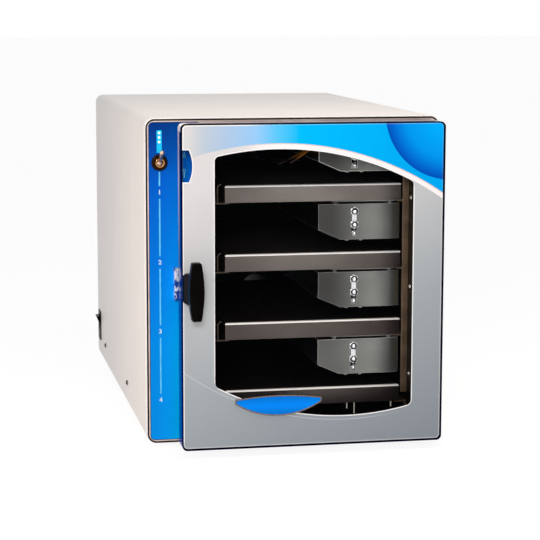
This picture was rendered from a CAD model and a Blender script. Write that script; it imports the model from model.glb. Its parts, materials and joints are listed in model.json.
"""Finishes, rounded sheet metal, printed film and a plain studio for a benchtop tray-type freeze dryer."""
import json
from contextlib import contextmanager
from math import copysign, hypot, radians

import bpy
from mathutils import Matrix, Vector

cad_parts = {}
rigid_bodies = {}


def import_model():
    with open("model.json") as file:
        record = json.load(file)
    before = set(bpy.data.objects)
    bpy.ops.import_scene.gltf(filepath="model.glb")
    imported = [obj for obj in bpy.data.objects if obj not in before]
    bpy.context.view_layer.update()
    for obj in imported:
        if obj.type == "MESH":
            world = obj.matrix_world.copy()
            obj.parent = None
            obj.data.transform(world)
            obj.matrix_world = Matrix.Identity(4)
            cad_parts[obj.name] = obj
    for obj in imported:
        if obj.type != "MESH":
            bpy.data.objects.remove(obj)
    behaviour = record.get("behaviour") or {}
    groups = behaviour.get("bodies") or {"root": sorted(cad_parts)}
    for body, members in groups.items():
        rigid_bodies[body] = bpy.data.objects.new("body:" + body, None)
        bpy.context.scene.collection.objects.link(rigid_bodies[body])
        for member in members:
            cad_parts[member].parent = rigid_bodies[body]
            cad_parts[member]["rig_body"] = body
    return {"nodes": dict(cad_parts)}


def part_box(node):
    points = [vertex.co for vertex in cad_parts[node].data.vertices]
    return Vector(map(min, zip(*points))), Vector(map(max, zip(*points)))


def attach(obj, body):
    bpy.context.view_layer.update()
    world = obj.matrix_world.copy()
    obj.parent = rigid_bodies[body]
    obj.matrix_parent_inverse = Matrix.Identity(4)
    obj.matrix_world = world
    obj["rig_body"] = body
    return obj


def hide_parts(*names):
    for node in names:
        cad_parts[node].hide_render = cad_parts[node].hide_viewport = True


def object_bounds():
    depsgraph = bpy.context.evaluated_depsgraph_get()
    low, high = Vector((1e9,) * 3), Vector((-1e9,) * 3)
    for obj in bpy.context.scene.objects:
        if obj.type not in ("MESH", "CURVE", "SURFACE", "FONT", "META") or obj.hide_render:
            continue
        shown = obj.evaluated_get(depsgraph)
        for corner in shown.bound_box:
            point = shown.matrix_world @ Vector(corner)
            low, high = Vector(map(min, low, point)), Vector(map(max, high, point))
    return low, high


bl_info = {
    "name": "Tray Freeze Dryer",
    "version": (1, 0, 0),
    "blender": (4, 5, 0),
    "location": "3D View > Sidebar > Dryer",
    "description": "Builds the looks of a benchtop tray-type freeze dryer on its frame",
    "category": "Object",
}

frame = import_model()
CAD_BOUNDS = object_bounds()

# Places. Lengths below are in millimetres from the cabinet's middle, front face and lower edge.
MM = 0.001
SHELL_LOW, SHELL_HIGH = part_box("cabinet_shell")
DATUM = Vector(((SHELL_LOW.x + SHELL_HIGH.x) / 2, SHELL_LOW.y, SHELL_LOW.z))


def at(x, y, z):
    """The point x right of the cabinet's middle, y behind its front and z above its lower edge."""
    return DATUM + Vector((x, y, z)) * MM


def extent(node):
    """A frame node's lowest and highest corners, in millimetres from the cabinet's datum."""
    low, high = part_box(node)
    return (low - DATUM) / MM, (high - DATUM) / MM


PLATE_LOW, PLATE_HIGH = extent("door_panel")
PLATE_MIDDLE = (PLATE_LOW + PLATE_HIGH) / 2
PLATE_HALF_W = (PLATE_HIGH.x - PLATE_LOW.x) / 2
PLATE_HALF_H = (PLATE_HIGH.z - PLATE_LOW.z) / 2
PRINT_MARGIN = extent("door_overlay")[0].x - PLATE_LOW.x
STRIP_LOW, STRIP_HIGH = extent("panel_overlay")
HANDLE_LOW, HANDLE_HIGH = extent("latch_handle")
LAMPS_LOW, LAMPS_HIGH = extent("indicator_lamps")
TOGGLE_LOW, TOGGLE_HIGH = extent("toggle_nut")
SHELF_NUMBERS = (1, 2, 3, 4)

# The case's corners, pale fold, lower hem and front seam, and the control strip's corners
CASE_CORNER = 13.0
CASE_FOLD = 13.0
HEM_RISE = 8.7
SEAM_INSET = 2.4
STRIP_CORNER = 6.0

# The height above which the door plate's edge turns pale
EDGE_PALE_FROM = 190.0

# The door's print, measured from the plate's edges
PLATE_CORNER = 7.0
WINDOW_SIDE = 44.0
WINDOW_TOP_R = 391.0
WINDOW_TOP_X = 130.2
WINDOW_TOP_DROP = 33.9
WINDOW_BOTTOM_R = 368.0
WINDOW_BOTTOM_X = 222.0
WINDOW_BOTTOM_RISE = 40.7
WINDOW_CORNER_BLEND = 12.3
NOTCH_DROP = 54.8
NOTCH_HALF = 21.0
NOTCH_DEPTH = 14.6
NOTCH_BULGE_R = 50.2
OUTLINE_W = 1.5
BORDER_W = 2.0
SKY_REACH = 167.0
ARCH_BAND = 7.2
THREAD_GAP = 5.5


# Meshes

def deselect():
    bpy.ops.object.select_all(action="DESELECT")


def make_active(piece):
    deselect()
    piece.select_set(True)
    bpy.context.view_layer.objects.active = piece


@contextmanager
def editing(piece):
    """Edit mode on one piece, with all of it selected at first."""
    make_active(piece)
    bpy.ops.object.mode_set(mode="EDIT")
    bpy.ops.mesh.select_all(action="SELECT")
    yield
    bpy.ops.object.mode_set(mode="OBJECT")


def pick(piece, kind, test):
    """Selects the vertices, edges or faces for which test is true. It is called in edit mode."""
    bpy.ops.mesh.select_mode(type=kind)
    bpy.ops.mesh.select_all(action="DESELECT")
    bpy.ops.object.mode_set(mode="OBJECT")
    mesh = piece.data
    for part in {"VERT": mesh.vertices, "EDGE": mesh.edges, "FACE": mesh.polygons}[kind]:
        part.select = bool(test(part))
    bpy.ops.object.mode_set(mode="EDIT")


def ends(piece, edge):
    """The two end points of an edge."""
    return [piece.data.vertices[i].co for i in edge.vertices]


def run(piece, edge, axis):
    """How far an edge runs along an axis."""
    start, end = ends(piece, edge)
    return abs(start[axis] - end[axis])


def settle(piece):
    """Puts a piece's place, turn and size into its mesh."""
    make_active(piece)
    bpy.ops.object.transform_apply(location=True, rotation=True, scale=True)


def named(name):
    """The active object, under a new name."""
    piece = bpy.context.object
    piece.name = name
    piece.data.name = name
    return piece


def made(name, add, **settings):
    """A piece from one of Blender's add operators, with its place and size in its mesh."""
    deselect()
    add(**settings)
    piece = named(name)
    settle(piece)
    return piece


def add_box(name, low, high):
    """A box between two points in metres."""
    return made(name, bpy.ops.mesh.primitive_cube_add, size=1, location=(low + high) / 2, scale=high - low)


def add_rod(name, start, end, radius):
    """A round bar between two points in metres."""
    along = end - start
    settings = {"radius": radius, "depth": along.length, "location": (start + end) / 2}
    turn = along.to_track_quat("Z", "Y").to_euler()
    return made(name, bpy.ops.mesh.primitive_cylinder_add, vertices=40, rotation=turn, **settings)


def modify(piece, kind, **settings):
    """Adds a modifier and applies it."""
    make_active(piece)
    modifier = piece.modifiers.new(kind.title(), kind)
    for key, value in settings.items():
        setattr(modifier, key, value)
    bpy.ops.object.modifier_apply(modifier=modifier.name)


def soften(piece, radius, segments=2, angle=35, slot=-1):
    """Rounds a piece's sharp edges, and gives the new faces a material slot."""
    modify(
        piece,
        "BEVEL",
        width=radius,
        segments=segments,
        limit_method="ANGLE",
        angle_limit=radians(angle),
        material=slot,
    )


def smooth(piece, angle=32):
    """Smooth shading that stops at sharp edges and keeps wide faces flat."""
    make_active(piece)
    bpy.ops.object.shade_smooth_by_angle(angle=radians(angle))
    modify(piece, "WEIGHTED_NORMAL", keep_sharp=True)


def duplicate(piece, name, matrix):
    """A copy of a piece with its own mesh, moved by a matrix."""
    twin = bpy.data.objects.new(name, piece.data.copy())
    bpy.context.scene.collection.objects.link(twin)
    twin.data.transform(matrix)
    return twin


def join(pieces, name):
    """Joins pieces into the first of them."""
    make_active(pieces[0])
    for piece in pieces:
        piece.select_set(True)
    bpy.ops.object.join()
    return named(name)


def subtract(piece, cutter):
    """Cuts one piece's shape out of another and deletes the cutter."""
    modify(piece, "BOOLEAN", operation="DIFFERENCE", object=cutter, solver="EXACT")
    bpy.data.objects.remove(cutter)


def clear_below(piece, height):
    """Cuts away what is below a height in metres and closes the cut."""
    with editing(piece):
        bpy.ops.mesh.bisect(plane_co=(0, 0, height), plane_no=(0, 0, 1), clear_inner=True, use_fill=True)


def facing(point, direction):
    """The matrix that stands a piece made on z = 0 at a point, facing a direction."""
    turn = Vector(direction).to_track_quat("Z", "Y").to_matrix().to_4x4()
    return Matrix.Translation(point) @ turn


def copy_of(node, name):
    """A copy of a frame node whose triangles are merged into whole faces."""
    piece = bpy.data.objects.new(name, frame["nodes"][node].data.copy())
    bpy.context.scene.collection.objects.link(piece)
    piece.data.materials.clear()
    with editing(piece):
        bpy.ops.mesh.remove_doubles(threshold=2e-6)
        bpy.ops.mesh.dissolve_limited(angle_limit=radians(0.3))
    return piece


def coat(piece, *finishes):
    """Gives a piece its finishes, one for each material slot."""
    piece.data.materials.clear()
    for material in finishes:
        piece.data.materials.append(material)


def fit(piece, like):
    """Lets a piece ride, and stand for, the frame node that it is like."""
    node = frame["nodes"][like]
    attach(piece, node["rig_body"])
    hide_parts(like)
    return piece


def dress(node, look, radius=0.0, segments=2, edge=None):
    """Stands a copy with rounded edges in a frame node's place. The edges may have their own finish."""
    piece = copy_of(node, node + "_rounded")
    coat(piece, finish(look), finish(edge or look))
    if radius:
        soften(piece, radius * MM, segments, slot=1 if edge else -1)
    smooth(piece)
    return fit(piece, node)


def paint(node, look):
    """Gives a frame node its finish and leaves its shape."""
    frame["nodes"][node].material_slots[0].material = finish(look)


# Shader nodes. Each is made in the tree of the node or socket that it is given first.

def linear(red, green, blue):
    """A colour written as 0 to 255 display values, as a linear colour with alpha."""
    def channel(value):
        value /= 255
        return value / 12.92 if value <= 0.04045 else ((value + 0.055) / 1.055) ** 2.4
    return (channel(red), channel(green), channel(blue), 1.0)


def scaled(colour, share):
    """A colour whose channels are scaled by a share."""
    return tuple(c * share for c in colour[:3]) + (1,)


def new_node(near, kind):
    """A new shader node in the tree of a node or socket."""
    return near.id_data.nodes.new("ShaderNode" + kind)


def connect(socket, value):
    """Joins a value to an input: another socket, or a constant."""
    if isinstance(value, bpy.types.NodeSocket):
        socket.id_data.links.new(value, socket)
    else:
        socket.default_value = value


def feed(node, **values):
    """Joins values to a node's inputs, which are named with _ for a space."""
    for key, value in values.items():
        connect(node.inputs[key.replace("_", " ")], value)


def calculate(operation, *values):
    """A Math node on its values."""
    node = new_node(values[0], "Math")
    node.operation = operation
    for socket, value in zip(node.inputs, values):
        connect(socket, value)
    return node.outputs[0]


def difference(value, other):
    return calculate("SUBTRACT", value, other)


def product(value, other):
    return calculate("MULTIPLY", value, other)


def larger(value, other):
    return calculate("MAXIMUM", value, other)


def distance(value, level):
    """How far a value is from a level, on either side."""
    return calculate("ABSOLUTE", difference(value, level))


def hypotenuse(x, z):
    """The length of a line that runs x across and z up."""
    return calculate("SQRT", calculate("MULTIPLY_ADD", x, x, product(z, z)))


def place(near, origin=(0, 0, 0), stretch=(1, 1, 1)):
    """Object coordinates in millimetres from an origin, stretched along the axes."""
    mapping = new_node(near, "Mapping")
    scale = [1000 * s for s in stretch]
    shift = [-s * c for s, c in zip(scale, at(*origin))]
    feed(mapping, Vector=new_node(near, "TexCoord").outputs["Object"], Scale=scale, Location=shift)
    return mapping.outputs["Vector"]


def axes(near, origin=(0, 0, 0)):
    """The distances across, back and up from an origin."""
    node = new_node(near, "SeparateXYZ")
    connect(node.inputs[0], place(near, origin))
    return node.outputs


def grain(near, size, detail=2.0, roughness=0.5, stretch=(1, 1, 1)):
    """Noise whose blotches are about size millimetres across, from 0 to 1."""
    node = new_node(near, "TexNoise")
    vector = place(near, stretch=stretch)
    feed(node, Vector=vector, Scale=1 / size, Detail=detail, Roughness=roughness)
    return node.outputs["Fac"]


def span(value, low, high, out_low=0.0, out_high=1.0, kind="SMOOTHSTEP"):
    """Maps low..high smoothly onto out_low..out_high, and holds it beyond."""
    node = new_node(value, "MapRange")
    node.interpolation_type = kind
    feed(node, Value=value, From_Min=low, From_Max=high, To_Min=out_low, To_Max=out_high)
    return node.outputs["Result"]


def span_plain(value, low, high):
    """Maps low..high evenly onto 0..1, and holds it beyond."""
    return span(value, low, high, kind="LINEAR")


def colour_ramp(value, stops):
    """A colour ramp through (position, colour) stops."""
    node = new_node(value, "ValToRGB")
    ramp = node.color_ramp
    while len(ramp.elements) < len(stops):
        ramp.elements.new(0.5)
    for element, (position, colour) in zip(ramp.elements, stops):
        element.position = position
        element.color = colour
    feed(node, Fac=value)
    return node.outputs["Color"]


def blend(share, first, second, mode="MIX"):
    """The first colour, with the second over it by its share."""
    node = new_node(share, "Mix")
    node.data_type = "RGBA"
    node.blend_type = mode
    for key, value in (("Factor", share), (6, first), (7, second)):
        connect(node.inputs[key], value)
    return node.outputs[2]


def emboss(shader, height, strength, depth):
    """Bumps a shader's surface by a height of so many millimetres."""
    node = new_node(shader, "Bump")
    feed(node, Strength=strength, Distance=depth * MM, Height=height)
    feed(shader, Normal=node.outputs["Normal"])


def ray_share(near):
    """1 for what the camera sees directly, in gloss or through clear plate, and 0 for light on the object."""
    rays = new_node(near, "LightPath").outputs
    return larger(larger(rays["Is Camera Ray"], rays["Is Glossy Ray"]), rays["Is Transmission Ray"])


# Outlines, as distances that are less than 0 inside

def circle_gap(x, z, centre_x, centre_z, radius):
    """How far a point lies outside a circle."""
    return difference(hypotenuse(difference(x, centre_x), difference(z, centre_z)), radius)


def panel_gap(x, z, half_w, half_h, corner):
    """How far a point lies outside a rectangle with rounded corners, centred on x = z = 0."""
    over_x = difference(calculate("ABSOLUTE", x), half_w - corner)
    over_z = difference(calculate("ABSOLUTE", z), half_h - corner)
    outside = hypotenuse(larger(over_x, 0.0), larger(over_z, 0.0))
    inside = calculate("MINIMUM", larger(over_x, over_z), 0.0)
    return difference(calculate("ADD", outside, inside), corner)


def front_gap(near, node, corner):
    """How far a point lies outside a frame node's outline, seen from the front."""
    low, high = extent(node)
    x, _, z = axes(near, (low + high) / 2)
    return panel_gap(x, z, (high.x - low.x) / 2, (high.z - low.z) / 2, corner)


def window_gap(x, z):
    """How far a point lies outside the window, and outside its upper and lower curves."""
    arch_z = PLATE_HALF_H - WINDOW_TOP_DROP - WINDOW_TOP_R
    arch = circle_gap(x, z, WINDOW_TOP_X - PLATE_HALF_W, arch_z, WINDOW_TOP_R)
    bow_z = WINDOW_BOTTOM_RISE - PLATE_HALF_H + WINDOW_BOTTOM_R
    bow = circle_gap(x, z, WINDOW_BOTTOM_X - PLATE_HALF_W, bow_z, WINDOW_BOTTOM_R)
    side = difference(calculate("ABSOLUTE", x), PLATE_HALF_W - WINDOW_SIDE)
    window = calculate("SMOOTH_MAX", side, arch, WINDOW_CORNER_BLEND)
    return calculate("SMOOTH_MAX", window, bow, WINDOW_CORNER_BLEND), arch, bow


def notch_gap(x, z):
    """How far a point lies outside the notch in the film's left side."""
    middle = PLATE_HALF_H - NOTCH_DROP
    bulge = circle_gap(x, z, NOTCH_DEPTH - PLATE_HALF_W - NOTCH_BULGE_R, middle, NOTCH_BULGE_R)
    return larger(bulge, difference(distance(z, middle), NOTCH_HALF))


# Finishes

WHITE = linear(255, 255, 255)
SEAM_DARK = linear(14, 9, 8)
RIM_NAVY = linear(0, 2, 22)
ACROSS = (0.03, 1, 1)
UPRIGHT = (1, 1, 0.03)

# Heights between which the chamber's sheets darken, and where a shelf's shaded ends begin and finish
CHAMBER_TOP = 330
CHAMBER_MIDDLE = 190
CHAMBER_LOW = 120
COVERS_LOW = 110
SHADE_LEFT = (90, 5)
SHADE_RIGHT = (145, 8)

# The print's deeper round field: its radius, its depth of colour and its centre beyond the plate's corner
FIELD_R = 92.0
FIELD_FADE = 60.0
FIELD_OUT_X = 8.0
FIELD_OUT_Z = 14.0


def case_paint(shader, colour, roughness):
    """Gloss powder paint with a fine orange peel, pale by the front edge and dark in its seam and hem."""
    tone = span(grain(shader, 90), 0.3, 0.7)
    colour = blend(tone, scaled(colour, 0.97), colour)
    _, depth, height = axes(shader)
    fold = span(depth, CASE_FOLD + 3, CASE_FOLD - 3)
    colour = blend(fold, colour, linear(255, 253, 250))
    hem = span(distance(height, HEM_RISE), 1.2, 0.8)
    colour = blend(hem, colour, linear(78, 70, 62))
    seam = product(span(front_gap(shader, "cabinet_shell", CASE_CORNER), -0.6, -1.0), span(depth, 6.0, 4.0))
    colour = blend(seam, colour, SEAM_DARK)
    feed(shader, Base_Color=colour, Roughness=roughness, Specular_IOR_Level=0.25)
    emboss(shader, grain(shader, 1.6, 1), 0.08, 0.05)


def rolled_steel(shader, colour, roughness, along=ACROSS, mottle=0.25, shade=None, metallic=1.0, gloss=0.5):
    """Brushed sheet, its lines drawn out along one axis, with faint blotches. shade may alter its colour."""
    lines = grain(shader, 0.5, 3, 0.6, along)
    blotch = grain(shader, 22, 3, stretch=(0.4, 1, 1))
    tone = blend(span(blotch, 0.35, 0.65), scaled(colour, 1 - mottle), colour)
    rough = span(lines, 0.25, 0.75, roughness - 0.07, roughness + 0.08)
    feed(shader, Base_Color=shade(tone) if shade else tone, Roughness=rough)
    feed(shader, Metallic=metallic, Specular_IOR_Level=gloss)
    emboss(shader, lines, 0.12, 0.03)


def seam_line(colour):
    """A dark seam round the front panel, where it meets the case."""
    gap = front_gap(colour, "front_panel", CASE_CORNER - SEAM_INSET)
    return blend(span(gap, -1.0, -0.4), colour, SEAM_DARK)


def cover_fall(colour):
    """Terminal covers are darker at their left side, and the lower ones a little less so."""
    low, high = extent("terminal_cover_2")
    x, _, z = axes(colour)
    width = high.x - low.x
    side = span(x, low.x + 0.1 * width, low.x + 0.9 * width, 0.84, 0.0)
    share = product(side, span(z, COVERS_LOW, CHAMBER_MIDDLE, 0.72, 1.0))
    return blend(share, colour, linear(30, 27, 28))


def shelf_fall(colour):
    """Lower shelves are darker than upper ones, and each is darker at its ends."""
    low, high = extent("shelf_2")
    x, _, z = axes(colour)
    down = span(z, CHAMBER_TOP, CHAMBER_LOW, 0.0, 0.54)
    right = span(x, high.x - SHADE_RIGHT[0], high.x - SHADE_RIGHT[1], 0.0, 0.62)
    right = product(right, span(z, CHAMBER_TOP, CHAMBER_MIDDLE, 0.4, 1.0))
    left = span(x, low.x + SHADE_LEFT[0], low.x + SHADE_LEFT[1], 0.0, 0.42)
    colour = blend(down, colour, linear(34, 26, 24))
    return blend(larger(right, left), colour, linear(52, 38, 36))


def bright_metal(shader, colour, roughness=0.12):
    """Plated metal with faint handling marks."""
    haze = grain(shader, 5, 4, 0.6)
    worn = span(haze, 0.3, 0.7, roughness * 0.6, roughness * 1.6)
    feed(shader, Base_Color=colour, Metallic=1.0, Roughness=worn)


def keeper_steel(shader, light, dark):
    """Polished steel with soft blue clouds up its face."""
    clouds = grain(shader, 6, 1, stretch=(1, 1, 0.8))
    colour = blend(span(clouds, 0.46, 0.56), dark, light)
    feed(shader, Base_Color=colour, Metallic=0.6, Roughness=0.2)
    emboss(shader, grain(shader, 6), 0.2, 0.2)


def moulding(shader, colour, roughness, texture=0.6, gloss=0.2):
    """Moulded plastic or rubber with a fine texture."""
    dust = span(grain(shader, 12, 3), 0.35, 0.75)
    pale = tuple(min(1, c * 1.35 + 0.001) for c in colour[:3]) + (1,)
    dusty = blend(dust, colour, pale)
    feed(shader, Base_Color=dusty, Roughness=roughness, Specular_IOR_Level=gloss)
    emboss(shader, grain(shader, 0.7, 1), 0.15 * texture, 0.05)


def lead_sheath(shader, lit, shade):
    """Heater leads: amber near the terminal covers and dark brown where they run back."""
    low, high = extent("heater_leads")
    width = high.x - low.x
    near = span(axes(shader)[0], low.x + 0.45 * width, low.x + 0.7 * width)
    strands = span(grain(shader, 3), 0.35, 0.65, 0.7, 1.0)
    colour = blend(product(near, strands), shade, lit)
    feed(shader, Base_Color=colour, Roughness=0.4, Specular_IOR_Level=0.2)


def clear_plate(shader, colour, share):
    """Clear plate that hides a small share of what is behind it, with a dark rim round the film."""
    gap = front_gap(shader, "door_panel", PLATE_CORNER)
    edge = span(gap, -PRINT_MARGIN - 0.8, -PRINT_MARGIN - 0.2)
    feed(shader, Base_Color=blend(edge, colour, RIM_NAVY), Alpha=larger(edge, share))
    feed(shader, Roughness=0.03, Specular_IOR_Level=span(edge, 0.0, 0.5, 0.004, 0.0))


def plate_edge(shader, blue, pale):
    """The clear plate's polished edge: dark at the front, then blue, and pale at the back and the top."""
    x, depth, z = axes(shader)
    height = span_plain(z, EDGE_PALE_FROM, PLATE_HIGH.z)
    stops = [(0.0, linear(0, 66, 172)), (0.3, linear(96, 120, 166)), (0.75, pale), (1.0, pale)]
    share = span_plain(depth, PLATE_LOW.y, PLATE_HIGH.y)
    front = blend(height, blue, RIM_NAVY)
    colour = blend(span(share, 0.44, 0.70), front, colour_ramp(height, stops))
    corner = circle_gap(x, z, PLATE_LOW.x, PLATE_HIGH.z, PLATE_CORNER + 2)
    lit = product(span(corner, 2.5, 0.0), span(share, 0.2, 0.3))
    gloss = span(share, 0.1, 0.4, 0.0, 0.03)
    feed(shader, Base_Color=blend(lit, colour, WHITE), Roughness=0.15, Specular_IOR_Level=gloss)


def silver_fade(x, z, high, mid, low):
    """Silver, falling from pale at the upper left to grey at the lower right."""
    fall = calculate("MULTIPLY_ADD", x, -0.42, z)
    stops = [(0.0, low), (0.38, mid), (0.86, high), (1.0, high)]
    silver = colour_ramp(span_plain(fall, -PLATE_HALF_H - 75, PLATE_HALF_H + 60), stops)
    cloud = span(grain(x, 120), 0.35, 0.65, 0.0, 0.05)
    return blend(cloud, silver, linear(150, 158, 172))


def sky_fade(x, z, sky):
    """Sky blue that pales towards the left, with a deeper round field in the right corner."""
    stops = [
        (0.0, linear(200, 206, 211)),
        (0.13, linear(174, 200, 228)),
        (0.25, linear(150, 202, 247)),
        (0.33, linear(91, 199, 255)),
        (0.42, sky),
        (0.70, linear(0, 178, 250)),
        (1.0, linear(0, 168, 246)),
    ]
    band = colour_ramp(span_plain(x, -SKY_REACH, PLATE_HALF_W), stops)
    corner = circle_gap(x, z, PLATE_HALF_W + FIELD_OUT_X, PLATE_HALF_H + FIELD_OUT_Z, FIELD_R)
    stops = [
        (0.0, linear(0, 171, 253)),
        (0.55, linear(0, 150, 240)),
        (0.86, linear(0, 104, 210)),
        (1.0, linear(0, 76, 184)),
    ]
    deep = colour_ramp(span_plain(corner, -FIELD_FADE, 0.0), stops)
    return blend(span(corner, 0.3, -0.3), band, deep)


def print_outlines(x, z, rim, window, faint):
    """The white outlines round the film, the window and the notch, faint at the right and the foot."""
    line = span(rim, -PRINT_MARGIN - OUTLINE_W, -PRINT_MARGIN - OUTLINE_W + 0.5)
    line = product(line, span(faint, 0.0, 1.0, 1.0, 0.1))
    foot = span(z, 16 - PLATE_HALF_H, 6 - PLATE_HALF_H)
    far = larger(foot, span(x, PLATE_HALF_W - 16, PLATE_HALF_W - 6))
    line = product(line, span(far, 0.0, 1.0, 1.0, 0.35))
    for gap in (window, notch_gap(x, z)):
        line = larger(line, span(gap, OUTLINE_W, OUTLINE_W - 0.5))
    return line


def door_print(shader, high, mid, low, sky):
    """The door's film: silver shading to grey, sky blue over the window's arch, and white outlines."""
    x, _, z = axes(shader, PLATE_MIDDLE)
    window, arch, bow = window_gap(x, z)
    fade = span(x, -SKY_REACH - 15, -SKY_REACH + 20)
    above = product(span(arch, ARCH_BAND - 0.2, ARCH_BAND + 1.0), fade)
    colour = blend(above, silver_fade(x, z, high, mid, low), sky_fade(x, z, sky))

    # A pale band with a thin warm edge under the sky blue
    right = span(x, -110.0, -50.0)
    band = product(span(arch, 0.4, 1.4), span(arch, ARCH_BAND + 0.2, ARCH_BAND - 0.6))
    colour = blend(product(band, right), colour, linear(250, 246, 247))
    warm = span(distance(arch, ARCH_BAND), 0.9, 0.3)
    colour = blend(product(warm, right), colour, linear(230, 204, 196))

    # A fine line that follows the bow
    thread = product(span(distance(bow, THREAD_GAP), 0.6, 0.1, 0.0, 0.6), span(x, 130.0, 60.0))
    colour = blend(thread, colour, linear(232, 234, 238))

    # The outlines, and the dark border outside them
    over_x = calculate("ADD", x, BORDER_W / 2)
    over_z = difference(z, BORDER_W / 2)
    half_w = PLATE_HALF_W - BORDER_W / 2
    rim = panel_gap(over_x, over_z, half_w, PLATE_HALF_H - BORDER_W / 2, PLATE_CORNER)
    line = print_outlines(x, z, rim, window, product(above, right))
    colour = blend(line, colour, WHITE)
    border = span(rim, -PRINT_MARGIN - 0.2, -PRINT_MARGIN + 0.2)
    colour = blend(border, colour, RIM_NAVY)
    feed(shader, Base_Color=colour, Roughness=0.42, Specular_IOR_Level=0.02)
    emboss(shader, grain(shader, 0.4, stretch=(0.02, 1, 1)), 0.04, 0.02)


def strip_print(shader, high, low):
    """The control strip's film: navy at the top, brightening to azure, with a dark edge line."""
    half_w = (STRIP_HIGH.x - STRIP_LOW.x) / 2
    half_h = (STRIP_HIGH.z - STRIP_LOW.z) / 2
    x, _, z = axes(shader, (STRIP_LOW + STRIP_HIGH) / 2)
    stops = [
        (0.0, low),
        (0.31, linear(0, 145, 242)),
        (0.57, linear(0, 123, 231)),
        (0.82, linear(0, 95, 208)),
        (0.95, linear(0, 62, 150)),
        (1.0, high),
    ]
    colour = colour_ramp(span_plain(z, -half_h, half_h), stops)
    colour = blend(span_plain(x, 6 - half_w, 4), colour, (0, 0.36, 0.2, 1), "DODGE")
    rim = span(panel_gap(x, z, half_w, half_h, STRIP_CORNER), -1.2, -0.5)
    colour = blend(rim, colour, linear(0, 34, 100))
    feed(shader, Base_Color=colour, Roughness=0.35, Specular_IOR_Level=0.04)
    emboss(shader, grain(shader, 0.8, 1), 0.04, 0.02)


def lamp_lens(shader, colour):
    """A small lit lamp."""
    feed(shader, Base_Color=colour, Roughness=0.2, Emission_Color=colour, Emission_Strength=0.35)


def badge_enamel(shader, colour):
    """Clear-coated enamel, a little deeper towards its edge."""
    low, high = extent("badge_field")
    z = axes(shader, (low + high) / 2)[2]
    near = span(calculate("ABSOLUTE", z), 0, (high.z - low.z) / 2)
    colour = blend(near, colour, scaled(colour, 0.72))
    feed(shader, Base_Color=colour, Roughness=0.22, Specular_IOR_Level=0.05)


def pale_floor(shader, colour):
    """A pale matt floor that shows white round the object and keeps its shadow."""
    feed(shader, Base_Color=colour, Roughness=0.7, Specular_IOR_Level=0.1)
    glow = new_node(shader, "Emission")
    feed(glow, Strength=FLOOR_GLOW)
    mixed = new_node(shader, "MixShader")
    share = product(ray_share(shader), FLOOR_SHARE)
    for socket, value in zip(mixed.inputs, (share, shader.outputs[0], glow.outputs[0])):
        connect(socket, value)
    feed(shader.id_data.nodes["Material Output"], Surface=mixed.outputs[0])


# Each finish's maker and the values for it. A text such as chamber.wall names a setting.
MAKERS = {
    "case_paint": (case_paint, "cabinet.paint", "cabinet.gloss"),
    "front_steel": (rolled_steel, linear(212, 192, 184), 0.33, (0.04, 1, 1), 0.25, seam_line),
    "plain_steel": (rolled_steel, linear(176, 174, 170), 0.38),
    "shelf_steel": (rolled_steel, "chamber.shelf", 0.34, ACROSS, 0.10, shelf_fall),
    "cover_steel": (rolled_steel, "chamber.cover", 0.36, (1, 1, 0.04), 0.10, cover_fall),
    "lit_edge": (rolled_steel, "chamber.lit", 0.36, ACROSS, 0.02, None, 0.2),
    "rack_steel": (rolled_steel, linear(172, 143, 117), 0.36, UPRIGHT, 0.3),
    "clip_steel": (rolled_steel, linear(70, 60, 52), 0.45, UPRIGHT, 0.2),
    "chamber_steel": (rolled_steel, "chamber.wall", 0.5, (0.03, 0.03, 1), 0.3, None, 0.0, 0.05),
    "bright_steel": (bright_metal, linear(226, 226, 228)),
    "dark_bronze": (bright_metal, linear(40, 27, 20), 0.16),
    "gilt": (bright_metal, linear(196, 140, 88), 0.2),
    "warm_steel": (bright_metal, linear(196, 172, 154), 0.3),
    "screw_steel": (bright_metal, linear(84, 72, 64), 0.2),
    "brass": (bright_metal, linear(214, 184, 118), 0.25),
    "badge_rim": (bright_metal, linear(122, 108, 102), 0.25),
    "keeper_steel": (keeper_steel, linear(250, 250, 252), linear(20, 74, 158)),
    "black_gloss": (moulding, linear(4, 1, 1), 0.3, 0.2, 0.03),
    "navy_gloss": (moulding, linear(0, 10, 36), 0.3, 0.2, 0.03),
    "black_dull": (moulding, linear(20, 20, 21), 0.5),
    "seal_rubber": (moulding, linear(14, 14, 15), 0.62, 0.6, 0.1),
    "heater_rubber": (moulding, linear(150, 62, 40), 0.6),
    "green_board": (moulding, linear(24, 92, 58), 0.35),
    "grey_case": (moulding, linear(120, 122, 126), 0.45),
    "cable_sheath": (moulding, linear(52, 50, 50), 0.55),
    "nylon": (moulding, linear(208, 202, 190), 0.4, 0.3),
    "scale_ink": (moulding, "controls.ink", 0.5, 0.1),
    "numeral_ink": (moulding, linear(214, 242, 255), 0.5, 0.1),
    "lamp_ink": (moulding, linear(0, 190, 255), 0.5, 0.1),
    "heater_lead": (lead_sheath, linear(206, 128, 40), linear(46, 28, 16)),
    "lamp_lens": (lamp_lens, linear(236, 250, 255)),
    "clear_plate": (clear_plate, linear(176, 198, 224), "door.haze"),
    "plate_edge": (plate_edge, linear(0, 16, 108), linear(205, 200, 226)),
    "badge_enamel": (badge_enamel, "door.badge"),
    "door_print": (door_print, "door.silver_high", "door.silver_mid", "door.silver_low", "door.sky"),
    "strip_print": (strip_print, "controls.strip_high", "controls.strip_low"),
    "floor": (pale_floor, "stage.floor"),
}
FINISHES = {}


def setting(path):
    """The value of a setting such as chamber.wall. A colour gets alpha."""
    group, name = path.split(".")
    value = getattr(getattr(bpy.context.scene, "dryer_" + group), name)
    return value if isinstance(value, float) else tuple(value) + (1.0,)


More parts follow.
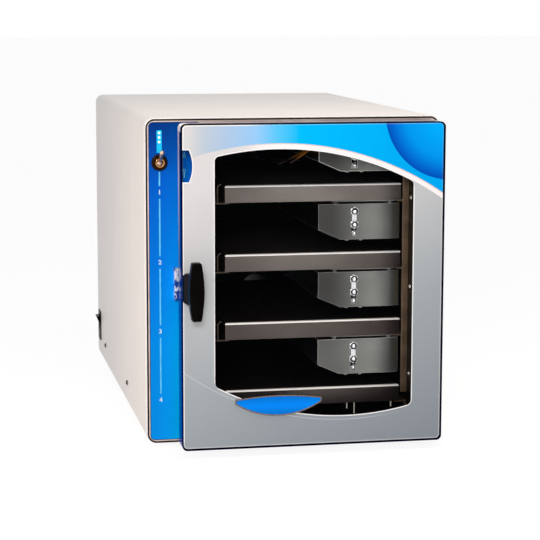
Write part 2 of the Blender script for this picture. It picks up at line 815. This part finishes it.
def finish(name):
    """A finish by its name, made when it is first asked for."""
    if name not in FINISHES:
        maker, *values = MAKERS[name]
        material = bpy.data.materials.new(name)
        material.use_nodes = True
        shader = material.node_tree.nodes["Principled BSDF"]
        maker(shader, *[setting(value) if isinstance(value, str) else value for value in values])
        FINISHES[name] = material
    return FINISHES[name]


# Settings

def colour_setting(name, what, display):
    """The colour of something, given in display values."""
    kind = {"subtype": "COLOR", "size": 3, "min": 0, "max": 1}
    return bpy.props.FloatVectorProperty(
        name=name, description=f"Colour of {what}", default=linear(*display)[:3], **kind
    )


def number_setting(name, description, default, low, high, **kind):
    """A number between two limits."""
    limits = {"min": low, "max": high}
    return bpy.props.FloatProperty(name=name, description=description, default=default, **limits, **kind)


def length_setting(name, description, default, low, high):
    """A length, given in millimetres."""
    kind = {"subtype": "DISTANCE", "unit": "LENGTH", "precision": 4}
    return number_setting(name, description, default * MM, low * MM, high * MM, **kind)


class DryerCabinet(bpy.types.PropertyGroup):
    """The case and what is on it."""
    paint: colour_setting("Paint", "the case's paint", (236, 233, 231))
    gloss: number_setting("Roughness", "Roughness of the case's paint", 0.32, 0.05, 0.9, subtype="FACTOR")
    edge: length_setting("Case edge", "Rounding of the case's sheet edges", 0.5, 0.1, 0.7)
    recess: length_setting("Screw recess", "Depth of the cross recess in the case screws", 1.4, 0.5, 2.0)


class DryerControls(bpy.types.PropertyGroup):
    """The control strip."""
    strip_high: colour_setting("Strip top", "the strip at its top", (0, 50, 126))
    strip_low: colour_setting("Strip bottom", "the strip at its bottom", (0, 150, 243))
    ink: colour_setting("Ink", "the strip's scale", (96, 202, 255))
    numeral: length_setting("Numerals", "Height of the scale's numerals", 5.8, 3, 9)
    line: length_setting("Line", "Width of the scale's line", 1.9, 0.5, 4)


class DryerChamber(bpy.types.PropertyGroup):
    """The chamber and its shelves."""
    wall: colour_setting("Walls", "the chamber's walls", (4, 2, 1))
    shelf: colour_setting("Shelves", "the shelves", (124, 117, 112))
    cover: colour_setting("Covers", "the terminal covers", (150, 150, 146))
    lit: colour_setting("Bends", "the sheets' bent and cut edges", (252, 250, 246))
    bend: length_setting("Shelf bend", "Radius of the bend at a shelf's edge", 2.6, 0.5, 4)
    sheet: length_setting("Shelf sheet", "Thickness of a shelf's sheet", 1.5, 0.5, 3)


class DryerDoor(bpy.types.PropertyGroup):
    """The door, its print, badge and latch."""
    silver_high: colour_setting("Silver, top", "the print at the top", (222, 221, 222))
    silver_mid: colour_setting("Silver, middle", "the print lower down", (166, 175, 180))
    silver_low: colour_setting("Silver, bottom", "the print at the lower right", (138, 146, 155))
    sky: colour_setting("Sky blue", "the band over the window", (0, 188, 255))
    badge: colour_setting("Badge", "the badge's field", (0, 140, 255))
    haze: number_setting(
        "Plate haze", "Share of what is behind the plate that it hides", 0.001, 0, 1, subtype="FACTOR"
    )
    edge: length_setting("Plate edge", "Rounding of the clear plate's edges", 1.2, 0.2, 3)
    handle: length_setting("Handle edge", "Rounding of the handle's edges", 3.0, 1, 5)


class DryerStage(bpy.types.PropertyGroup):
    """The studio."""
    lens: number_setting("Lens", "Focal length of the camera", 121.3, 20, 300, unit="CAMERA")
    surround: number_setting("Surround", "Strength of the even light from all round", 0.32, 0, 2)
    key: number_setting("Key", "Power of the front light in watts", 26, 0, 500)
    side: number_setting("Side", "Power of the left light in watts", 1.15, 0, 50)
    top: number_setting("Top", "Power of the light above in watts", 4.4, 0, 50)
    floor: colour_setting("Floor", "the floor", (250, 250, 251))


# Stage

CAMERA_PLACE = (-505.0, -2390.9, 591.3)
CAMERA_TURN = (81.649, -0.108, -11.155)
CAMERA_SENSOR = 36
CAMERA_REACH = 100
FLOOR_GLOW = 1.12
FLOOR_SHARE = 0.8
FLOOR_SIZE = 60

# Each light's place, the point it faces, its size in metres and its colour
LIGHTS = {
    "key": ((-650, -2400, 1000), (0, 0, 230), 0.5, (1, 1, 1)),
    "side": ((-700, -100, 300), (-206, 60, 240), 0.35, (1.0, 0.74, 0.60)),
    "top": ((130, -250, 1120), (60, 90, 440), 0.6, (1.0, 0.83, 0.71)),
}


def add_camera(lens):
    deselect()
    turn = [radians(a) for a in CAMERA_TURN]
    bpy.ops.object.camera_add(location=at(*CAMERA_PLACE), rotation=turn)
    camera = bpy.context.object
    camera.name = "view"
    camera.data.lens = lens
    camera.data.sensor_width = CAMERA_SENSOR
    camera.data.clip_end = CAMERA_REACH
    bpy.context.scene.camera = camera


def add_panel_light(name, power):
    """A soft square light from LIGHTS, with its power in watts."""
    deselect()
    start, aim, size, colour = LIGHTS[name]
    turn = (at(*aim) - at(*start)).to_track_quat("-Z", "Y").to_euler()
    bpy.ops.object.light_add(type="AREA", location=at(*start), rotation=turn)
    lamp = bpy.context.object
    lamp.name = name
    lamp.data.energy = power
    lamp.data.size = size
    lamp.data.color = colour


def light_surround(strength):
    """An even white surround."""
    world = bpy.data.worlds.new("surround")
    bpy.context.scene.world = world
    world.use_nodes = True
    background = world.node_tree.nodes["Background"]
    brightness = calculate("MULTIPLY_ADD", ray_share(background), 1 - strength, strength)
    feed(background, Color=(1, 1, 1, 1), Strength=brightness)


class DRYER_OT_stage(bpy.types.Operator):
    """Adds the floor, the surround, the lights and the camera"""
    bl_idname = "dryer.stage"
    bl_label = "Stage"

    def execute(self, context):
        settings = context.scene.dryer_stage
        context.scene.view_settings.view_transform = "Standard"
        add_camera(settings.lens)
        light_surround(settings.surround)
        for name in LIGHTS:
            add_panel_light(name, getattr(settings, name))
        foot = (0, 0, CAD_BOUNDS[0][2])
        floor = made("floor", bpy.ops.mesh.primitive_plane_add, size=FLOOR_SIZE, location=foot)
        coat(floor, finish("floor"))
        return {"FINISHED"}


# Cabinet

CASE_SCREW_R = 4.5
CASE_SCREW_RISE = 2.4
RECESS_REACH = 0.52
RECESS_BLADE = 0.12


def domed_screw(name, radius, height, recess):
    """A domed screw head that stands on z = 0, with a cross recess."""
    ball = (radius * radius + height * height) / (2 * height)
    size = {"segments": 32, "ring_count": 48, "radius": ball * MM}
    piece = made(name, bpy.ops.mesh.primitive_uv_sphere_add, location=(0, 0, (height - ball) * MM), **size)
    clear_below(piece, 0)
    arm = radius * RECESS_REACH
    blade = radius * RECESS_BLADE
    for reach_x, reach_y in ((arm, blade), (blade, arm)):
        low = Vector((-reach_x, -reach_y, height - recess)) * MM
        high = Vector((reach_x, reach_y, height + 1)) * MM
        subtract(piece, add_box("recess", low, high))
    return piece


def solids_of(node):
    """The boxes of a frame node's separate solids, as lowest and highest corners."""
    piece = copy_of(node, node + "_parts")
    make_active(piece)
    with editing(piece):
        bpy.ops.mesh.separate(type="LOOSE")
    boxes = []
    for part in list(bpy.context.selected_objects):
        points = [v.co for v in part.data.vertices]
        low = Vector([min(p[i] for p in points) for i in range(3)])
        high = Vector([max(p[i] for p in points) for i in range(3)])
        boxes.append((low, high))
        bpy.data.objects.remove(part)
    return boxes


def case_screw_seat(low, high):
    """Where a case screw's head sits on the case, and which way it faces."""
    middle = (low + high) / 2
    if high.y > SHELL_HIGH.y:
        return Vector((middle.x, SHELL_HIGH.y, middle.z)), (0, 1, 0)
    if middle.x < DATUM.x:
        return Vector((SHELL_LOW.x, middle.y, middle.z)), (-1, 0, 0)
    return Vector((SHELL_HIGH.x, middle.y, middle.z)), (1, 0, 0)


def screw_heads(node, radius, height, recess):
    """Screw heads with a recess, one on the case in the place of each solid of a node."""
    name = "case_screw_heads"
    pattern = domed_screw(name + "_pattern", radius, height, recess)
    heads = []
    for index, (low, high) in enumerate(solids_of(node)):
        base, direction = case_screw_seat(low, high)
        heads.append(duplicate(pattern, f"{name}_{index}", facing(base, direction)))
    bpy.data.objects.remove(pattern)
    return join(heads, name)


class DRYER_OT_cabinet(bpy.types.Operator):
    """Dresses the case: shell, panels, pan, feet and case screws"""
    bl_idname = "dryer.cabinet"
    bl_label = "Cabinet"

    def execute(self, context):
        settings = context.scene.dryer_cabinet
        dress("cabinet_shell", "case_paint", settings.edge / MM, 3)
        dress("rear_panel", "case_paint", 0.3)
        dress("front_panel", "front_steel", 0.5)
        dress("base_pan", "plain_steel", 0.5)
        dress("feet", "seal_rubber", 2.0, 3)
        heads = screw_heads("case_screws", CASE_SCREW_R, CASE_SCREW_RISE, settings.recess / MM)
        coat(heads, finish("screw_steel"))
        fit(heads, "case_screws")
        return {"FINISHED"}


# Controls

MARK_T = 0.06
DIGIT_SHARE = 0.7
NUMERAL_WEIGHT = 0.22
SCALE_HEIGHTS = (341.7, 247.7, 154.0, 60.0)
SCALE_GAP = 8.6
TOGGLE_X = (TOGGLE_LOW.x + TOGGLE_HIGH.x) / 2
SCALE_TOP_GAP = 1.5
RINGS_X = -149.4
RING_R = 2.1
RING_W = 0.8
RING_TAIL_GAP = 2.2

# The rings' heights, and how far the tail of each reaches up or down
RINGS = ((389.8, 5.2), (370.5, -10.0))
LAMP_BAR_HALF = 3.4
LAMP_BAR_FOOT = 2.0
LAMP_BAR_RISE = 1.6


def flat_mark(name, low_x, low_z, high_x, high_z, face_y):
    """A thin printed mark that stands on a face towards the front."""
    return add_box(name, at(low_x, face_y - MARK_T, low_z), at(high_x, face_y, high_z))


def numeral(text, x, z, height, face_y):
    """A printed numeral centred on x and z."""
    deselect()
    bpy.ops.object.text_add(location=at(x, face_y - MARK_T / 2, z), rotation=(radians(90), 0, 0))
    words = bpy.context.object
    words.data.body = text
    words.data.size = height / DIGIT_SHARE * MM
    words.data.offset = NUMERAL_WEIGHT * MM
    words.data.align_x = "CENTER"
    words.data.align_y = "CENTER"
    words.data.extrude = MARK_T / 2 * MM
    bpy.ops.object.convert(target="MESH")
    piece = named("numeral_" + text)
    settle(piece)
    return piece


def printed_ring(name, x, z, radius, width, face_y):
    """A printed ring on a face towards the front."""
    ring = add_rod(name, at(x, face_y - MARK_T, z), at(x, face_y, z), radius * MM)
    hole = add_rod("hole", at(x, face_y - 1, z), at(x, face_y + 1, z), (radius - width) * MM)
    subtract(ring, hole)
    return ring


def strip_lines(settings):
    """The scale's line below the toggle, and the rings behind the door's notch."""
    face_y = STRIP_LOW.y
    half = settings.line / MM / 2
    marks = []
    top = TOGGLE_LOW.z - SCALE_TOP_GAP
    for height in SCALE_HEIGHTS:
        marks.append(flat_mark("line", TOGGLE_X - half, height + SCALE_GAP, TOGGLE_X + half, top, face_y))
        top = height - SCALE_GAP
    for height, reach in RINGS:
        marks.append(printed_ring("ring", RINGS_X, height, RING_R, RING_W, face_y))
        low, high = sorted((height + copysign(RING_TAIL_GAP, reach), height + reach))
        marks.append(flat_mark("tail", RINGS_X - RING_W, low, RINGS_X + RING_W, high, face_y))
    return join(marks, "strip_scale")


def strip_numerals(settings):
    """The numerals of the four shelves on the scale."""
    height = settings.numeral / MM
    marks = [numeral(str(n), TOGGLE_X, z, height, STRIP_LOW.y) for n, z in enumerate(SCALE_HEIGHTS, 1)]
    return join(marks, "strip_numerals")


def lamp_bar():
    """The bright bar behind the indicator lamps."""
    middle = (LAMPS_LOW.x + LAMPS_HIGH.x) / 2
    low_z = TOGGLE_HIGH.z + LAMP_BAR_FOOT
    high_z = LAMPS_HIGH.z + LAMP_BAR_RISE
    return flat_mark("lamp_bar", middle - LAMP_BAR_HALF, low_z, middle + LAMP_BAR_HALF, high_z, STRIP_LOW.y)


def print_on_strip(piece, look):
    """Finishes a printed mark, which rides with the strip."""
    coat(piece, finish(look))
    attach(piece, "cabinet")


class DRYER_OT_controls(bpy.types.Operator):
    """Dresses the control strip: film, scale, lamps, toggle and power switch"""
    bl_idname = "dryer.controls"
    bl_label = "Controls"

    def execute(self, context):
        settings = context.scene.dryer_controls
        paint("panel_overlay", "strip_print")
        print_on_strip(strip_lines(settings), "scale_ink")
        print_on_strip(strip_numerals(settings), "numeral_ink")
        print_on_strip(lamp_bar(), "lamp_ink")
        dress("indicator_lamps", "lamp_lens", 0.5, 3)
        dress("toggle_switch", "gilt", 0.5)
        dress("toggle_nut", "dark_bronze", 1.0, 3)
        dress("toggle_lever", "warm_steel")
        dress("rocker_housing", "black_gloss", 0.6)
        dress("power_rocker", "black_gloss", 0.7, 3)
        return {"FINISHED"}


# Chamber

def folded_pan(name, low, high, sheet, bend):
    """A pan folded from sheet: open below, with bent edges in the second finish."""
    piece = add_box(name, low, high)
    coat(piece, finish("shelf_steel"), finish("lit_edge"))
    with editing(piece):
        pick(piece, "FACE", lambda face: face.normal.z < -0.5)
        bpy.ops.mesh.delete(type="FACE")
        pick(piece, "EDGE", lambda edge: min(p.z for p in ends(piece, edge)) > high.z - bend)
        bpy.ops.mesh.bevel(offset=bend, segments=5, affect="EDGES", material=1)
        pick(piece, "EDGE", lambda edge: run(piece, edge, 2) > 3 * bend)
        bpy.ops.mesh.bevel(offset=0.3 * bend, segments=2, affect="EDGES", material=0)
        bpy.ops.mesh.select_all(action="SELECT")
        bpy.ops.mesh.normals_make_consistent(inside=False)
    for face in piece.data.polygons:
        if face.center.y > low.y + 1.5 * bend:
            face.material_index = 0
    modify(piece, "SOLIDIFY", thickness=sheet, offset=-1)
    smooth(piece, 40)
    return piece


class DRYER_OT_shelves(bpy.types.Operator):
    """Folds the shelves from sheet and dresses what holds and heats them"""
    bl_idname = "dryer.shelves"
    bl_label = "Shelves"

    def execute(self, context):
        settings = context.scene.dryer_chamber
        for number in SHELF_NUMBERS:
            node = f"shelf_{number}"
            low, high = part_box(node)
            fit(folded_pan(f"shelf_pan_{number}", low, high, settings.sheet, settings.bend), node)
        dress("rack_left", "clip_steel", 0.3)
        dress("rack_right", "rack_steel", 0.3)
        dress("shelf_clips", "clip_steel", 0.3)
        paint("heater_pads", "heater_rubber")
        paint("tie_tails", "nylon")
        return {"FINISHED"}


NUTS_LOW, NUTS_HIGH = extent("cover_nuts")
NUT_DROPS = (9.8, 27.8)
SMALL_NUT_DROP = 40.2
COVER_HEIGHT = 50.5
HEXAGON_SHARE = 0.866
CAP_SHARE = 0.92
LINK_HALF_W = 3.4
LINK_GAP = 0.4
LINK_T = 1.3


def dome_nut(name, across, base, reach):
    """A dome nut on z = 0: a six-sided base with a chamfer, and a round cap."""
    size = {"vertices": 6, "radius": across / 2 * MM / HEXAGON_SHARE, "depth": base * MM}
    hexagon = made(name, bpy.ops.mesh.primitive_cylinder_add, location=(0, 0, base / 2 * MM), **size)
    soften(hexagon, 0.35 * MM)
    radius = across / 2 * CAP_SHARE
    size = {"segments": 28, "ring_count": 18, "radius": radius * MM, "scale": (1, 1, (reach - base) / radius)}
    cap = made("cap", bpy.ops.mesh.primitive_uv_sphere_add, location=(0, 0, base * MM), **size)
    clear_below(cap, base * 0.9 * MM)
    nut = join([hexagon, cap], name)
    smooth(nut, 40)
    return nut


def cover_fittings():
    """Dome nuts and link bars on the four terminal covers."""
    x = (NUTS_LOW.x + NUTS_HIGH.x) / 2
    large = dome_nut("large_nut", 11.0, 3.0, 8.8)
    small = dome_nut("small_nut", 7.0, 2.6, 5.4)
    pieces = []
    for number in SHELF_NUMBERS:
        foot = extent(f"terminal_cover_{number}")[0]
        top = foot.z + COVER_HEIGHT
        low = at(x - LINK_HALF_W, foot.y - LINK_GAP - LINK_T, top - NUT_DROPS[1])
        high = at(x + LINK_HALF_W, foot.y - LINK_GAP, top - NUT_DROPS[0])
        link = add_box("link", low, high)
        soften(link, 0.25 * MM)
        pieces.append(link)
        for nut, drop in ((large, NUT_DROPS[0]), (large, NUT_DROPS[1]), (small, SMALL_NUT_DROP)):
            spot = at(x, foot.y - 0.1, top - drop)
            pieces.append(duplicate(nut, "nut", facing(spot, (0, -1, 0))))
    bpy.data.objects.remove(large)
    bpy.data.objects.remove(small)
    return join(pieces, "cover_fittings")


class DRYER_OT_covers(bpy.types.Operator):
    """Dresses the terminal covers, their nuts and the leads"""
    bl_idname = "dryer.covers"
    bl_label = "Terminal covers"

    def execute(self, context):
        for number in SHELF_NUMBERS:
            dress(f"terminal_cover_{number}", "cover_steel", 0.55, 2, "lit_edge")
        paint("terminal_blocks", "black_dull")
        fittings = cover_fittings()
        coat(fittings, finish("bright_steel"))
        fit(fittings, "cover_nuts")
        dress("heater_leads", "heater_lead")
        dress("lead_conduit", "cable_sheath")
        return {"FINISHED"}


class DRYER_OT_chamber(bpy.types.Operator):
    """Dresses the chamber's box, gasket and fittings"""
    bl_idname = "dryer.chamber"
    bl_label = "Chamber"

    def execute(self, context):
        dress("chamber_liner", "chamber_steel", 0.8)
        dress("chamber_gasket", "seal_rubber", 2.2, 4)
        dress("feedthrough", "brass", 0.5)
        dress("chamber_screws", "bright_steel")
        paint("liner_supports", "plain_steel")
        return {"FINISHED"}


# Rear and inside

PORT_BORE_R = 23.5


def line_bore(port, look):
    """Gives the suction port's bore a finish of its own."""
    low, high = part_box("vacuum_port")
    middle = (low + high) / 2
    port.data.materials[1] = finish(look)
    for face in port.data.polygons:
        radius = hypot(face.center.x - middle.x, face.center.z - middle.z)
        if radius < PORT_BORE_R * MM and abs(face.normal.y) < 0.5:
            face.material_index = 1


class DRYER_OT_services(bpy.types.Operator):
    """Dresses the rear fittings and the works behind the chamber"""
    bl_idname = "dryer.services"
    bl_label = "Services"

    def execute(self, context):
        line_bore(dress("vacuum_port", "plain_steel", 0.5), "seal_rubber")
        dress("power_inlet", "black_dull", 0.6)
        dress("fuse_holders", "black_dull", 1.2, 3)
        dress("vent_valve", "brass", 0.8)
        paint("power_supply", "grey_case")
        paint("control_board", "green_board")
        paint("lamp_board", "green_board")
        paint("board_standoffs", "brass")
        paint("wiring_harness", "cable_sheath")
        return {"FINISHED"}


# Door

class DRYER_OT_door(bpy.types.Operator):
    """Dresses the door: clear plate, printed film and badge"""
    bl_idname = "dryer.door"
    bl_label = "Door"

    def execute(self, context):
        settings = context.scene.dryer_door
        plate = copy_of("door_panel", "door_plate")
        coat(plate, finish("clear_plate"), finish("plate_edge"))
        soften(plate, settings.edge, 3)
        smooth(plate)
        for face in plate.data.polygons:
            if abs(face.normal.y) < 0.9:
                face.material_index = 1
        fit(plate, "door_panel")
        finish("clear_plate").surface_render_method = "BLENDED"
        paint("door_overlay", "door_print")
        dress("door_badge", "badge_rim", 0.55, 3)
        dress("badge_field", "badge_enamel", 0.25)
        return {"FINISHED"}


class DRYER_OT_hinges(bpy.types.Operator):
    """Dresses the hinges and their screws"""
    bl_idname = "dryer.hinges"
    bl_label = "Hinges"

    def execute(self, context):
        for node in ("hinge_leaf_cabinet", "hinge_leaf_door"):
            dress(node, "bright_steel", 0.35)
        for node in ("hinge_pins", "hinge_screws", "panel_screws"):
            dress(node, "bright_steel")
        return {"FINISHED"}


SHAFT_LOW, SHAFT_HIGH = extent("latch_shaft")
BAR_HALF_W = 10.0
BAR_END_HALF_W = 6.25
BAR_DEPTH = 16.0
BAR_CUTS = 5
BAR_CURVE = 1.8
BAR_THINNING = 0.10
NECK_BASE_HALF = (13.0, 20.0)
NECK_BAR_HALF = (6.25, 22.0)
NECK_SINK = 3
NECK_ROUND = 4.5


def handle_bar(axis_x, middle_z, edge):
    """The handle's bar, barrel-shaped: widest in the middle, with flat ends."""
    front = HANDLE_LOW.y
    half_len = (HANDLE_HIGH.z - HANDLE_LOW.z) / 2
    low = at(axis_x - BAR_HALF_W, front, middle_z - half_len)
    high = at(axis_x + BAR_HALF_W, front + BAR_DEPTH, middle_z + half_len)
    centre = (low + high) / 2
    bar = add_box("t_bar", low, high)
    with editing(bar):
        bpy.ops.mesh.subdivide(number_cuts=BAR_CUTS)
        steps = (BAR_CUTS + 1) // 2
        for step in range(steps + 1):
            share = step / steps
            rise = share * half_len * MM
            wide = 1 - (1 - BAR_END_HALF_W / BAR_HALF_W) * share**BAR_CURVE
            deep = 1 - BAR_THINNING * share
            pick(bar, "VERT", lambda v: abs(abs(v.co.z - centre.z) - rise) < 1e-4)
            bpy.ops.transform.resize(value=(wide, deep, 1), center_override=centre)
    soften(bar, edge, 4, 60)
    return bar


def handle_neck(axis_x, middle_z):
    """The neck, from a wide base at the door to a narrow end under the bar."""
    base_y = HANDLE_HIGH.y
    bar_y = HANDLE_LOW.y + BAR_DEPTH - NECK_SINK
    low = at(axis_x - NECK_BASE_HALF[0], bar_y, middle_z - NECK_BASE_HALF[1])
    high = at(axis_x + NECK_BASE_HALF[0], base_y, middle_z + NECK_BASE_HALF[1])
    neck = add_box("t_neck", low, high)
    centre = (low + high) / 2
    with editing(neck):
        pick(neck, "VERT", lambda v: v.co.y < centre.y)
        share = (NECK_BAR_HALF[0] / NECK_BASE_HALF[0], 1, NECK_BAR_HALF[1] / NECK_BASE_HALF[1])
        bpy.ops.transform.resize(value=share, center_override=centre)
        pick(neck, "EDGE", lambda edge: run(neck, edge, 1) > 1e-3)
        bpy.ops.mesh.bevel(offset=NECK_ROUND * MM, segments=5, affect="EDGES")
    soften(neck, 1.0 * MM, 3, 50)
    return neck


def t_handle(settings):
    """The latch's T-handle: a barrel-shaped bar on a neck that widens towards the door."""
    axis_x = (SHAFT_LOW.x + SHAFT_HIGH.x) / 2
    middle_z = (HANDLE_LOW.z + HANDLE_HIGH.z) / 2
    bar = handle_bar(axis_x, middle_z, settings.handle)
    handle = join([bar, handle_neck(axis_x, middle_z)], "t_handle")
    smooth(handle, 40)
    return handle


class DRYER_OT_latch(bpy.types.Operator):
    """Models the T-handle and dresses the latch's other pieces"""
    bl_idname = "dryer.latch"
    bl_label = "Latch"

    def execute(self, context):
        handle = t_handle(context.scene.dryer_door)
        coat(handle, finish("black_gloss"))
        fit(handle, "latch_handle")
        dress("latch_bushing", "navy_gloss", 0.8, 3)
        for node in ("latch_shaft", "latch_cam", "latch_nut"):
            dress(node, "bright_steel", 0.4)
        dress("latch_keeper", "keeper_steel", 0.6, 3)
        return {"FINISHED"}


class DRYER_PT_sidebar(bpy.types.Panel):
    """The dryer's pieces and their settings."""
    bl_label = "Tray freeze dryer"
    bl_idname = "DRYER_PT_sidebar"
    bl_space_type = "VIEW_3D"
    bl_region_type = "UI"
    bl_category = "Dryer"

    def draw(self, context):
        layout = self.layout
        for step in STEPS:
            layout.operator(step.bl_idname)
        for key, group in SETTINGS.items():
            box = layout.box()
            box.label(text=group.__doc__)
            for name in group.__annotations__:
                box.prop(getattr(context.scene, key), name)


SETTINGS = {
    "dryer_cabinet": DryerCabinet,
    "dryer_controls": DryerControls,
    "dryer_chamber": DryerChamber,
    "dryer_door": DryerDoor,
    "dryer_stage": DryerStage,
}
STEPS = (
    DRYER_OT_stage,
    DRYER_OT_cabinet,
    DRYER_OT_controls,
    DRYER_OT_chamber,
    DRYER_OT_shelves,
    DRYER_OT_covers,
    DRYER_OT_services,
    DRYER_OT_door,
    DRYER_OT_hinges,
    DRYER_OT_latch,
)


def register():
    for group in SETTINGS.values():
        bpy.utils.register_class(group)
    for step in STEPS + (DRYER_PT_sidebar,):
        bpy.utils.register_class(step)
    for key, group in SETTINGS.items():
        setattr(bpy.types.Scene, key, bpy.props.PointerProperty(type=group))


def unregister():
    for key in SETTINGS:
        delattr(bpy.types.Scene, key)
    for step in reversed(STEPS + (DRYER_PT_sidebar,)):
        bpy.utils.unregister_class(step)
    for group in SETTINGS.values():
        bpy.utils.unregister_class(group)


def main():
    register()
    for step in STEPS:
        group, name = step.bl_idname.split(".")
        getattr(getattr(bpy.ops, group), name)()


if __name__ == "__main__":
    main()
